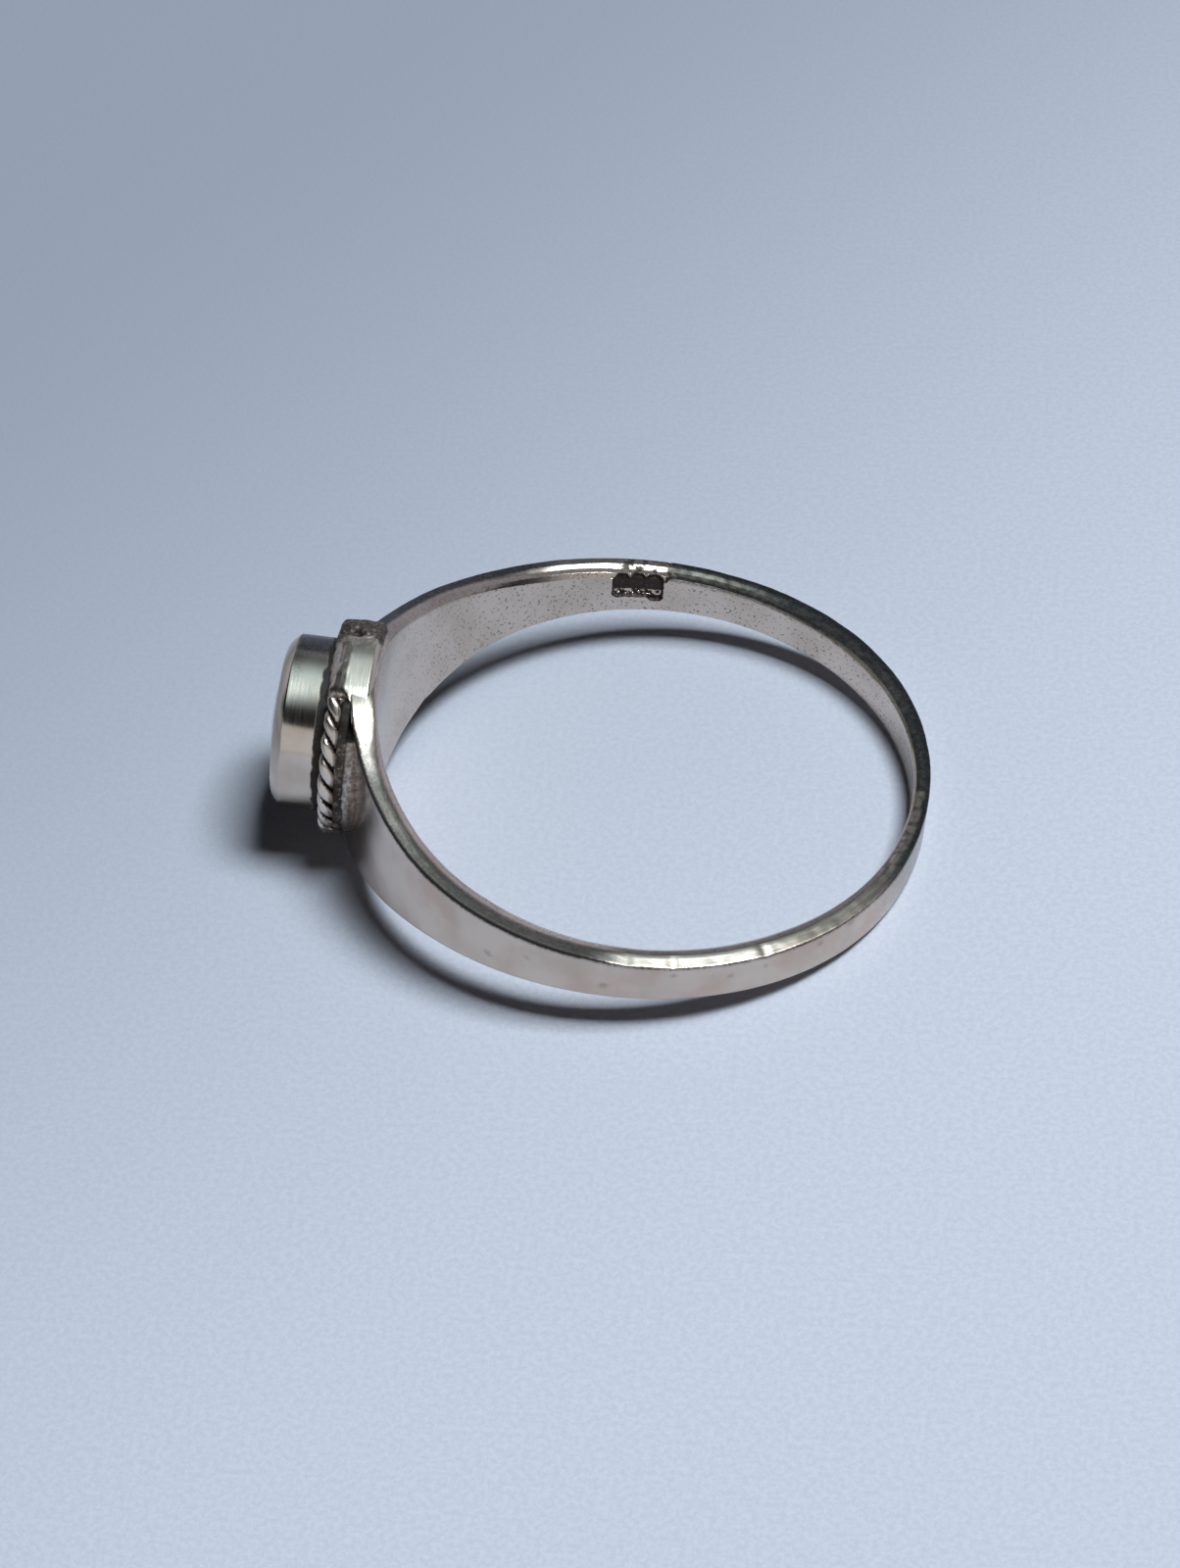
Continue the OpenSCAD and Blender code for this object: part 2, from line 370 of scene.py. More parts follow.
# %% [markdown]
# The band is one strip of silver: 1.5 mm wide and thin at the back of the shank, 6.4 mm wide under the
# stone. Its outside is flat with crisp edges, and the inside edges are rounded off for comfort. The
# section is drawn at the crown, under the stone, and turned round the hole. Then each point is moved to
# the width and the thickness that the strip has at its angle.

# %% Band sizes
BAND = [  # angle from the head, half width, thickness
    (0, 3.20, 0.88),
    (8, 3.18, 0.86),
    (15, 2.83, 0.83),
    (22, 2.44, 0.81),
    (30, 2.07, 0.80),
    (50, 1.33, 0.82),
    (75, 0.92, 0.83),
    (100, 0.77, 0.83),
    (135, 0.75, 0.79),
    (180, 0.75, 0.55),
]
CROWN_HALF_W, CROWN_T = BAND[0][1:]
CROWN_R = HOLE_R + CROWN_T
EDGE_R = 0.05
COMFORT_D = 0.42
COMFORT_H = 0.12
NEAR_THICKER = 0.12
BORDER = 0.3
BAND_STEPS = 540


def from_table(table, place, column):
    """A column of the table at this place in its first column, smoothly between its rows."""
    i = max(k for k, row in enumerate(table[:-1]) if place >= row[0] or k == 0)

    def slope(k):
        if k in (0, len(table) - 1):
            return 0
        return (table[k + 1][column] - table[k - 1][column]) / (table[k + 1][0] - table[k - 1][0])

    d = table[i + 1][0] - table[i][0]
    s = (place - table[i][0]) / d
    return ((1 + 2 * s) * (1 - s) ** 2 * table[i][column] + s * (1 - s) ** 2 * d * slope(i)
            + s * s * (3 - 2 * s) * table[i + 1][column] + s * s * (s - 1) * d * slope(i + 1))


def band_size(angle, column):
    """The half width (column 1) or the thickness (column 2) of the band, the same on both sides."""
    return from_table(BAND, abs(angle), column)


def ring_angle(point):
    """Degrees from the head, positive on the far side."""
    return math.degrees(math.atan2(point.y, -point.x))


print("angle, half width, thickness:",
      [(a, round(band_size(a, 1), 2), round(band_size(a, 2), 2)) for a in (0, 40, 90, 180)])

# %% Band section
# Depths from the finger hole, in mm. They lie close together where a flat has to stay crisp in smooth
# shading: at its ends, and at the borders of the slopes that are filed later
ROUNDED_DEPTHS = (0, 0.004, 0.014, 0.032, 0.056, 0.087, 0.123, 0.13, 0.136, 0.142, 0.187, 0.259, 0.311,
                  0.355, 0.365, 0.375, 0.42)
FLAT_DEPTHS = (0.44, 0.55, 0.563, 0.576)


def band_section():
    """The section at the crown, from the top face outwards, down the outside and up the inside."""
    soft_r, soft_z = HOLE_R + COMFORT_D, CROWN_HALF_W - COMFORT_H
    edge_r, edge_z = CROWN_R - EDGE_R, CROWN_HALF_W - EDGE_R
    crisp = 0.02
    rounded = [(HOLE_R + d, soft_z + COMFORT_H * math.sqrt(1 - (1 - d / COMFORT_D) ** 2))
               for d in ROUNDED_DEPTHS]
    return ([(edge_r - crisp, CROWN_HALF_W)] + arc((edge_r, edge_z), (EDGE_R, EDGE_R), 90, 0, 3)
            + [(CROWN_R, edge_z - crisp), (CROWN_R, crisp - edge_z)]
            + arc((edge_r, -edge_z), (EDGE_R, EDGE_R), 0, -90, 3)
            + arc((soft_r, -soft_z), (COMFORT_D, COMFORT_H), -90, -180, 8)
            + rounded + [(HOLE_R + d, CROWN_HALF_W) for d in FLAT_DEPTHS])


band = bmesh.new()
chain(band, [(-r, z) for r, z in band_section()], closed=True)
cut_long_edges(band, 0.17)
print("points in the section:", len(band.verts))
turn_round(band, BAND_STEPS)

# %% Flare of the band
for vert in band.verts:
    angle = ring_angle(vert.co)
    half_w, thick = band_size(angle, 1), band_size(angle, 2)
    radius = math.hypot(vert.co.x, vert.co.y)
    height = abs(vert.co.z)
    if height > CROWN_HALF_W - BORDER:
        height = half_w - (CROWN_HALF_W - height)
    else:
        height *= (half_w - BORDER) / (CROWN_HALF_W - BORDER)
    inward = NEAR_THICKER * window(angle, -165, -115, -70, -20)
    grown = HOLE_R - inward + (radius - HOLE_R) * (thick + inward) / CROWN_T
    vert.co = Vector((vert.co.x * grown / radius, vert.co.y * grown / radius,
                      math.copysign(height, vert.co.z)))

# %% [markdown]
# A worn stamp has left three shallow lobes inside the band, beside the solder seam where the strip was
# closed. Its floor is uneven and dark. Only there the band needs finer faces, so the edges near it are
# divided before the points are moved. All that happens to a point of the band depends on its angle, and
# on how deep it lies between the finger hole and the outside, so those are worked out once.

# %% Worn stamp
STAMP_ANGLE = 82.2
STAMP_Z = 0.66
STAMP_LOW = -0.17
STAMP_DEPTH = 0.13
LOBE_PITCH = 0.56
LOBE_R = 0.31


def spot_on_band(point):
    """What the wear depends on at a point of the band."""
    angle = ring_angle(point)
    radius = math.hypot(point.x, point.y)
    half_w, thick = band_size(angle, 1), band_size(angle, 2)
    depth = (radius - HOLE_R) / thick  # 0 at the finger hole, 1 outside
    return SimpleNamespace(
        point=point, angle=angle, radius=radius, half_w=half_w, thick=thick, depth=depth,
        out=Vector((point.x, point.y, 0)) / radius,
        top_share=smoothstep(half_w - 0.25, half_w - 0.05, point.z),
        outside=smoothstep(0.8, 1, depth),
        from_edge=math.hypot((1 - depth) * thick, half_w - point.z))


def stamp_inside(point):
    """Distance inside the outline of the worn stamp, in mm: below 0 outside it."""
    along = math.radians(ring_angle(point) - STAMP_ANGLE) * HOLE_R
    height = point.z + 1.07 * (math.hypot(point.x, point.y) - HOLE_R)  # measured on over the rounded edge
    lobes = max(LOBE_R - math.hypot(along - k * LOBE_PITCH, height - STAMP_Z) for k in (-1, 0, 1))
    low = STAMP_LOW - 0.13 * smoothstep(0.3, 0.5, along)
    corner = math.hypot(max(abs(along) - 0.72, 0), max(low + 0.15 - height, 0))
    block = min(0.15 - corner, STAMP_Z - height)
    return max(lobes, block) + 0.03 * rumble(point, 0.12, 3)


def stamped(spot):
    """How deep the stamp is here, in mm, and how dirty."""
    point, inside = spot.point, stamp_inside(spot.point)
    if inside <= -0.1 or spot.depth >= 0.48:
        return 0, 0
    uneven = 0.5 * rumble(point, 0.16, 5) + 0.3 * rumble(point, 0.07, 6)
    # Small crests near the lower edge are worn bright
    crest = smoothstep(0.15, 0.06, abs(point.z - STAMP_LOW - 0.15))
    crest *= smoothstep(-0.1, 0.1, rumble(point, 0.1, 7)) * smoothstep(0.04, 0.08, inside)
    deep = smoothstep(-0.02, 0.07, inside) * (STAMP_DEPTH * (1 + 0.35 * uneven) - 0.05 * crest)
    brown_mask = smoothstep(-0.06, -0.01, inside) * (0.9 + 0.3 * uneven) - 1.2 * crest
    return deep, max(brown_mask, 0)


near_stamp = [e for e in band.edges
              if all(stamp_inside(v.co) > -0.2 and math.hypot(v.co.x, v.co.y) < HOLE_R + 0.4
                     for v in e.verts)]
bmesh.ops.subdivide_edges(band, edges=near_stamp, cuts=4, use_grid_fill=True)
print("edges divided at the stamp:", len(near_stamp))

# %% [markdown]
# The top face was filed again by hand, and each stretch differs. On the far side, up to the seam, the
# inner half slopes down to the hole, with a second, steeper facet at its edge: this is the bright strip
# in the picture. Past the seam it is flatter. The near side was filed outwards and its inner edge is
# worn round. Three nicks and a notch mark the edges.

# %% Filed top face
SEAM_ANGLE = 88.6
SEAM_DEG = 0.5
RIDGE = COMFORT_D / CROWN_T
NICKS = [(-102, 0.35, 0.035), (-120, 0.28, 0.03), (-93, 0.2, 0.02)]  # angle, width, depth in mm
NOTCH_ANGLE = 28.3


def near_filed(angle):
    """1 where the near side was filed outwards."""
    return window(angle, -165, -150, -94, -84)


def filed_off(spot):
    """How far filing and wear have lowered the top face here, in mm."""
    angle, depth = spot.angle, spot.depth
    past_seam = window(angle, SEAM_ANGLE - 0.4, SEAM_ANGLE + 0.4, 150, 170)
    towards_seam = smoothstep(40, 62, angle) * smoothstep(SEAM_ANGLE + 0.4, SEAM_ANGLE - 0.4, angle)
    near_worn = window(angle, -175, -150, -25, -12)
    inner_half = max(RIDGE - depth, 0) / RIDGE
    outer_half = max(depth - RIDGE, 0) / (1 - RIDGE)
    # First the comfort rounding is taken back to a flat, and then the slopes are cut into it
    drop = -COMFORT_H * bulge(inner_half) * max(towards_seam, near_worn, 0.85 * past_seam)
    slope = min(max(0.64 - depth, 0), 0.225) * spot.thick
    drop += towards_seam * (0.42 * slope + 0.16 * max(1 - depth / 0.155, 0))
    drop += past_seam * smoothstep(135, 100, angle) * 0.2 * slope
    drop += near_worn * 0.26 * bulge(1 - depth / (0.62 - 0.14 * near_filed(angle)))
    drop += near_filed(angle) * 0.115 * outer_half
    return drop * smoothstep(spot.half_w - 0.36, spot.half_w - 0.13, spot.point.z)


def nicked(spot):
    """How deep the nicks in the near top edge are here, in mm."""
    total = 0
    for nick_angle, width, deep in NICKS:
        away = math.radians(spot.angle - nick_angle) * spot.radius / width
        total += deep * math.exp(-4 * away * away)
    return total * spot.top_share * smoothstep(0.2, 0.6, spot.depth)


def notched(spot):
    """How deep the notch low inside the far wall is here, in mm."""
    away = math.hypot(math.radians(spot.angle - NOTCH_ANGLE) * HOLE_R / 0.22,
                      (spot.point.z + spot.half_w) / 0.14)
    return 0.05 * math.exp(-away * away) * smoothstep(0.6, 0.1, spot.depth)


def seam_here(spot):
    """1 in the solder seam across the band, 0 away from it."""
    return smoothstep(SEAM_DEG, 0.1, abs(spot.angle - SEAM_ANGLE + 0.5 * rumble(spot.point, 0.4, 8)))


# %% [markdown]
# Brown dirt stays in the seam, round the stamp, round the head and along the sharp edges. A dark film,
# partly painted shade, lies on the top face all along the far side, where only the filed strip is bright.
# The outer half of the near top face and the outside at the back of the shank are darker too, and painted
# shade darkens the near top face's outer edge and the worn inner rounding of its filed stretch. On the
# outside there are a few faint round blotches.

# %% Dirt and film on the band
BLOTCHES = [(-139.7, 0.5, 0.3), (-132, 0.31, 0.22), (-89, -0.32, 0.26), (-113, 0.09, 0.2), (-102, 0.33, 0.18),
            (-120, 0.21, 0.16), (-74, 0.1, 0.2), (-66, -0.4, 0.24)]  # angle, height, radius in mm
SMUDGES = [(96, 6), (101, 5), (78, 7), (71, 5)]  # angle, reach in degrees


def edge_shade(spot):
    """How much painted shade darkens the outer edge of the near top face here."""
    edge = smoothstep(0.13, 0.04, spot.from_edge) * window(spot.angle, -165, -150, -20, -12)
    return edge * (0.4 + 0.5 * smoothstep(-92, -80, spot.angle))


def blotched(spot):
    """How strong the blotches on the outside are here."""
    return max(smoothstep(1, 0.3, math.hypot(math.radians(spot.angle - a) * spot.radius,
                                             spot.point.z - z) / r)
               for a, z, r in BLOTCHES) * spot.outside


def band_dirt_and_shade(spot, seam, edge, blotch):
    """Brown dirt, apart from the stamp's, and the painted shade along the near top face's outer edge."""
    point, angle, depth = spot.point, spot.angle, spot.depth
    by_seam = 0.85 * smoothstep(9, 4, abs(angle - SEAM_ANGLE + 4)) * patchy(point, 0.25, 9)
    smudge = max(smoothstep(1, 0.2, math.hypot((angle - a) / reach, (point.z + 0.35) / 0.3))
                 for a, reach in SMUDGES)
    smudge *= smoothstep(0.1, 0, depth) * smoothstep(-0.3, 0.5, rumble(point, 0.25, 24))
    sharp_edge = smoothstep(0.09, 0.0, spot.from_edge) * smoothstep(-0.4, 0.4, rumble(point, 0.8, 10))
    by_head = smoothstep(24, 8, abs(angle)) * smoothstep(0.6, 1, depth)
    by_head *= 0.1 + 0.5 * smoothstep(0, 20, angle)
    return ((0.8 * seam + by_seam) * spot.top_share + 0.4 * smudge + 0.3 * sharp_edge + edge + by_head
            + 0.12 * blotch)


def band_film(spot, edge, blotch):
    """The dark film and the painted shade in it: the strongest of the films that each place has."""
    point, angle, depth, top_share = spot.point, spot.angle, spot.depth, spot.top_share
    # On the far side the dark top face is partly film and partly painted shade
    far_top_film_and_shade = top_share * smoothstep(3, 12, angle) * smoothstep(SEAM_ANGLE + 3, SEAM_ANGLE - 1, angle)
    far_top_film_and_shade *= 0.3 * smoothstep(68, 58, angle) + 0.1 + 0.45 * smoothstep(0.45, 0.6, depth)
    rubbed = smoothstep(0.34, 0.12, abs(depth - 0.42)) * patchy(point, 0.25, 21)
    rubbed *= 0.2 + 0.8 * smoothstep(118, 95, angle)
    past_seam = window(angle % 360, SEAM_ANGLE - 0.4, SEAM_ANGLE + 0.4, 200, 225) * top_share
    past_seam *= 1 - smoothstep(0.22, 0.05, depth) * smoothstep(120, 150, angle % 360)
    near_top = top_share * window(angle, -98, -86, -20, -10) * smoothstep(0.2, 0.45, depth)
    # Painted shade dims the worn inner rounding of the near side's filed stretch
    near_round_shade = top_share * near_filed(angle) * smoothstep(0.46, 0.38, depth) * smoothstep(0.03, 0.12, depth)
    shank_back = smoothstep(138, 165, abs(angle)) * spot.outside
    return max(far_top_film_and_shade, past_seam * (0.88 - 0.75 * rubbed), 0.62 * near_top, 0.55 * near_round_shade, edge,
               0.5 * shank_back, 0.35 * blotch)


# %% Worn band
paintable(band, "tarnish", "film", "blush", "specks")
for vert in band.verts:
    spot = spot_on_band(vert.co.copy())
    point, depth, out = spot.point, spot.depth, spot.out
    outer = smoothstep(0.5, 1, depth)
    seam, edge, blotch = seam_here(spot), edge_shade(spot), blotched(spot)
    deep, stamp_dirt = stamped(spot)

    # Hand-made edges waver by a hundredth of a millimetre
    waver = 0.012 * rumble(point, 1.1, 1) + 0.006 * rumble(point, 0.35, 2)
    vert.co += out * (0.6 * waver * outer - 0.012 * seam * outer + deep + notched(spot))
    vert.co.z += (waver - 0.02 * seam) * spot.top_share - filed_off(spot) - nicked(spot)

    paint(band, vert, tarnish=stamp_dirt + band_dirt_and_shade(spot, seam, edge, blotch),
          film=band_film(spot, edge, blotch),
          specks=smoothstep(0.5, 0.1, depth) * (0.35 + 0.3 * smoothstep(0, 60, spot.angle)),
          blush=0.6 * spot.outside * smoothstep(-0.5, 0.6, rumble(point, 1.6, 22)))

wrap_uv(band, lambda p: (math.radians(ring_angle(p)) * HOLE_R,
                         p.z + 0.8 * (math.hypot(p.x, p.y) - HOLE_R), 2 * math.pi * HOLE_R))
finished(band, "band", BAND_SILVER, "silver_ring", AT_REST)

# %% [markdown]
# The head is built like a small pot: a round back plate, a cup made from a strip of thin silver whose
# upper edge is rolled over the stone, and a twisted wire round its foot. All three are turned about the
# head's own axis. Here Z points out of the head, X is up along the finger hole, and Y points to the far
# side.

# %% Head sizes
PLATE_Z = CROWN_R + 0.1
PLATE_T = 0.33
PLATE_R = 3.52
PLATE_ROUND = 0.08
CUP_R = 2.92
CUP_WALL = 0.2
CUP_TOP = CROWN_R + 2.0
RIM_IN = 0.37
RIM_H = 0.34
RIM_Z = CUP_TOP + RIM_H
RIM_EDGE = 0.1
LIP_R = CUP_R - RIM_IN
FLOOR_Z = CROWN_R + 1.07
STONE_GAP = 0.03
HEAD_STEPS = 192


def head_angle(point):
    """Degrees from the top of the head, positive towards the far side, for a point in the head's place."""
    return math.degrees(math.atan2(point.y, point.x))


def around(point):
    """UV of a turned head piece: along the round and up the wall."""
    return math.radians(head_angle(point)) * 3, point.z + 0.7 * math.hypot(point.x, point.y), 6 * math.pi


print(f"cup {2 * CUP_R:.2f} mm across, {RIM_Z - PLATE_Z:.2f} mm high")

# %% [markdown]
# The back plate shows only between the rope and the band. Solder has run over its edge, so the edge is
# lumpy, and it is cut back where the lug covers it. In the groove beside the rope and under the lug it
# is black: dirt and painted shade.

# %% Back plate
plate = bmesh.new()
round_r = PLATE_R - PLATE_ROUND
chain(plate, [(0, PLATE_Z)] + arc((round_r, PLATE_Z - PLATE_ROUND), (PLATE_ROUND, PLATE_ROUND), 90, 0, 4)
      + arc((round_r, PLATE_Z - PLATE_T + PLATE_ROUND), (PLATE_ROUND, PLATE_ROUND), 0, -90, 4)
      + [(0, PLATE_Z - PLATE_T)], closed=False)
cut_long_edges(plate, 0.2)
turn_round(plate, HEAD_STEPS)
paintable(plate, "tarnish", "film")
for vert in plate.verts:
    radius = math.hypot(vert.co.x, vert.co.y)
    rim = smoothstep(3.2, 3.45, radius)
    lumps = 0.6 * rumble(vert.co, 0.34, 11) + 0.25 * rumble(vert.co, 0.15, 12)
    under_lug = window(head_angle(vert.co), -36, -24, 22, 34)
    # Black in the groove beside the rope and under the lug: dirt and painted shade
    groove = smoothstep(3.5, 3.38, radius) * smoothstep(PLATE_Z - 0.1, PLATE_Z - 0.02, vert.co.z)
    groove = max(groove, window(head_angle(vert.co), -58, -48, 45, 60))
    vert.co += Vector((vert.co.x, vert.co.y, 0)) * (0.1 * lumps - 0.6 * under_lug) * rim / max(radius, 0.1)
    paint(plate, vert, tarnish=max(0.8 - 0.45 * lumps, groove), film=0.75 * groove)
wrap_uv(plate, around)
finished(plate, "back_plate", SOLDER_SILVER, "silver_ring", AT_REST @ ON_HEAD)

# %% [markdown]
# A flat plate on a curved band leaves a wedge of air at each side, and on the real ring it is filled
# with solder. Here a slightly conical block fills it. It is cut off above and below, inside the band's
# edges, and an extra cut just before each end keeps a narrow border there that is painted black as shade.

# %% Saddle under the plate
SADDLE_FROM, SADDLE_TO = HOLE_R + 0.2, PLATE_Z - PLATE_T + 0.1
SADDLE_END, SADDLE_BORDER = 0.9, 1.1  # inside the band's edge

saddle = bmesh.new()
bmesh.ops.create_cone(saddle, cap_ends=True, segments=96, radius1=PLATE_R - 0.1, radius2=PLATE_R - 0.02,
                      depth=SADDLE_TO - SADDLE_FROM)
bmesh.ops.translate(saddle, verts=saddle.verts, vec=(0, 0, (SADDLE_TO + SADDLE_FROM) / 2))
for side in (-1, 1):
    for inset in (SADDLE_BORDER, SADDLE_END):
        cut = bmesh.ops.bisect_plane(
            saddle, geom=saddle.verts[:] + saddle.edges[:] + saddle.faces[:], plane_no=(side, 0, 0),
            plane_co=(side * (CROWN_HALF_W - inset) - HEAD_OFF_Z, 0, 0), clear_outer=inset == SADDLE_END)
    close_ends(saddle)
paintable(saddle, "tarnish", "film")
for vert in saddle.verts:
    # Painted shade: the narrow borders at the ends are black
    shaded_end = smoothstep(CROWN_HALF_W - 1.08, CROWN_HALF_W - 0.92, abs(vert.co.x + HEAD_OFF_Z))
    paint(saddle, vert, tarnish=0.45 + shaded_end, film=0.3 + 0.6 * shaded_end)
wrap_uv(saddle, around)
finished(saddle, "saddle", SOLDER_SILVER, "silver_ring", AT_REST @ ON_HEAD)

# %% [markdown]
# The cup's wall is straight and was burnished, so it reflects like a dull mirror. Its foot sits in old
# solder and dirt, and is painted darker still as shade, black from the top round to the far side. The
# top of the wall is darker, and on the near side its upper part too: partly tarnish, partly painted
# shade. The rim was rolled over the stone with a steel burnisher, which leaves it slightly uneven: its
# height and reach vary by two hundredths of a millimetre.

# %% Bezel cup
cup = bmesh.new()
rolled = [(CUP_R - RIM_IN * t, CUP_TOP + RIM_H * (t + 0.45 * t * (1 - t)))
          for t in (i / 10 for i in range(11))]
chain(cup, [(0, PLATE_Z - 0.05), (CUP_R, PLATE_Z - 0.05), (CUP_R, CUP_TOP - 0.02)] + rolled
      + [(LIP_R - 0.04, RIM_Z - 0.03), (LIP_R - 0.02, RIM_Z - RIM_EDGE), (CUP_R - CUP_WALL, CUP_TOP - 0.14),
         (CUP_R - CUP_WALL, FLOOR_Z), (0, FLOOR_Z)], closed=False)
cut_long_edges(cup, 0.08)
turn_round(cup, HEAD_STEPS)
paintable(cup, "tarnish", "film")
for vert in cup.verts:
    point = vert.co.copy()
    angle = head_angle(point)
    radius = max(math.hypot(point.x, point.y), 0.1)
    wall = smoothstep(2.3, 2.8, radius)
    rim = smoothstep(CUP_TOP - 0.3, RIM_Z, point.z) * wall
    reach = 0.012 * rumble(point, 1.3, 13) * wall - 0.02 * rim * rumble(point, 0.9, 14)
    vert.co += Vector((point.x, point.y, 0)) / radius * reach
    vert.co.z += 0.02 * rim * rumble(point, 1.0, 15)
    # The foot: old solder and dirt, and painted shade in the gap beside the rope; from the top round to the
    # far side it is painted black as shade
    foot_dirt_and_shade = smoothstep(CROWN_R + 0.97, CROWN_R + 0.83, point.z + 0.1 * rumble(point, 0.4, 16))
    foot_shade = foot_dirt_and_shade * smoothstep(-62, -42, angle)
    groove = smoothstep(LIP_R + 0.03, LIP_R - 0.03, radius)
    # The top of the wall, and the upper wall on the near side, are darker: partly tarnish, partly painted
    # shade
    top_tarnish_and_shade = window(angle, -50, 15, 60, 85) * smoothstep(RIM_Z - 0.25, RIM_Z - 0.4, point.z)
    top_tarnish_and_shade *= max(smoothstep(-5, 10, angle), 0.7 * smoothstep(CROWN_R + 1.2, CROWN_R + 2, point.z))
    paint(cup, vert, tarnish=max(1.3 * foot_dirt_and_shade, 0.8 * groove, 0.32 * top_tarnish_and_shade), film=max(0.88 * top_tarnish_and_shade, foot_shade))
wrap_uv(cup, around)
finished(cup, "bezel_cup", CUP_SILVER, "silver_ring", AT_REST @ ON_HEAD)

# %% [markdown]
# The rope border is two round wires twisted together and soldered round the cup's foot. Each wire is a
# small circle that is spun round the head, and then each of its points is moved off the rope's middle
# by a turning amount, which winds it into a helix. Wear has flattened the outermost crests and keeps them
# bright, and the hollows between the wires are black.

# %% Rope border
ROPE_R = 3.34
ROPE_Z = CROWN_R + 0.32
STRAND_R = 0.165
STRAND_OFF = 0.14
HUMPS = 29
ROPE_FROM = 31
ROPE_TURN = 297
CREST = 0.24  # how far the worn crests reach from the rope's middle


def rope_strand(number):
    """One wire of the rope: number 0 or 1, half a turn apart."""
    strand = bmesh.new()
    bmesh.ops.create_circle(strand, segments=12, radius=STRAND_R)
    bmesh.ops.rotate(strand, verts=strand.verts, matrix=Matrix.Rotation(math.radians(90), 3, "X"))
    bmesh.ops.translate(strand, verts=strand.verts, vec=(ROPE_R, 0, ROPE_Z))
    turn_round(strand, HUMPS * 14, ROPE_TURN)
    close_ends(strand)
    bmesh.ops.rotate(strand, verts=strand.verts, matrix=Matrix.Rotation(math.radians(ROPE_FROM), 3, "Z"))
    paintable(strand, "tarnish")
    for vert in strand.verts:
        around_deg = (head_angle(vert.co) - ROPE_FROM + 10) % 360 + ROPE_FROM - 10
        twist = math.radians(HUMPS * around_deg / 2) + math.pi * number
        reach = Vector((math.hypot(vert.co.x, vert.co.y) - ROPE_R, vert.co.z - ROPE_Z))
        sideways = Vector((-math.sin(twist), math.cos(twist)))
        reach += 0.3 * reach.dot(sideways) * sideways
        reach += STRAND_OFF * Vector((math.cos(twist), math.sin(twist)))
        if reach.x > CREST:
            reach.x = CREST + 0.4 * (reach.x - CREST)
        hollow = smoothstep(0.12, 0.45, 1 - reach.length / (STRAND_R + STRAND_OFF))
        # The lower side, towards the plate, is painted brown: dirt and painted shade
        low = smoothstep(-0.08, -0.26, reach.y)
        lump = 0.02 * rumble(vert.co, 0.35, 17)
        angle = math.radians(around_deg)
        radius = ROPE_R + reach.x + lump
        vert.co = Vector((radius * math.cos(angle), radius * math.sin(angle), ROPE_Z + reach.y + lump))
        paint(strand, vert, tarnish=max(1.3 * hollow, 0.6 * low) + 0.1 * rumble(vert.co, 0.2, 18))
    wrap_uv(strand, around)
    finished(strand, f"rope_strand_{number + 1}", ROPE_SILVER, "silver_ring", AT_REST @ ON_HEAD)


for strand_number in (0, 1):
    rope_strand(strand_number)

# %% [markdown]
# Above the band the rope is drowned in solder. It was filed to a pillow that starts flush with the band's
# top face on the near side and is highest towards the far side. Its near end rounds off over the rope
# and runs back into the band's outer face. Its section is swept straight across the head, and then each
# point is lifted to the pillow's height there. A gas bubble has left a pit in it, and old polish has
# dried brown round the pit.

# %% Solder lug
LUG_TOP = [  # place across the head, height of the pillow
    (-2.5, 2.66), (-2.3, 2.77), (-1.8, 2.985), (-1.23, 3.17), (-0.63, 3.33), (-0.13, 3.43),
    (0.37, 3.47), (0.97, 3.5), (1.47, 3.46), (1.77, 3.3), (2.02, 2.96)]
LUG_SECTION = [  # height from the pillow's top, reach out of the head
    (-0.7, 9.2), (-0.35, 9.03), (-0.17, 9.06), (-0.05, 9.13), (0, 9.22), (0, 9.5), (0, 9.8), (0, 10.0),
    (-0.03, 10.17), (-0.1, 10.33), (-0.2, 10.45), (-0.33, 10.54), (-0.5, 10.6), (-0.75, 10.62),
    (-1.1, 10.55), (-1.1, 9.5)]
LUG_STEPS = 100
NEAR_END, NEAR_ROUND = -1.36, 0.5  # where the near end starts to round off, and over what length
PIT_Y, PIT_Z, PIT_DEPTH = 0.91, 9.9, 0.17

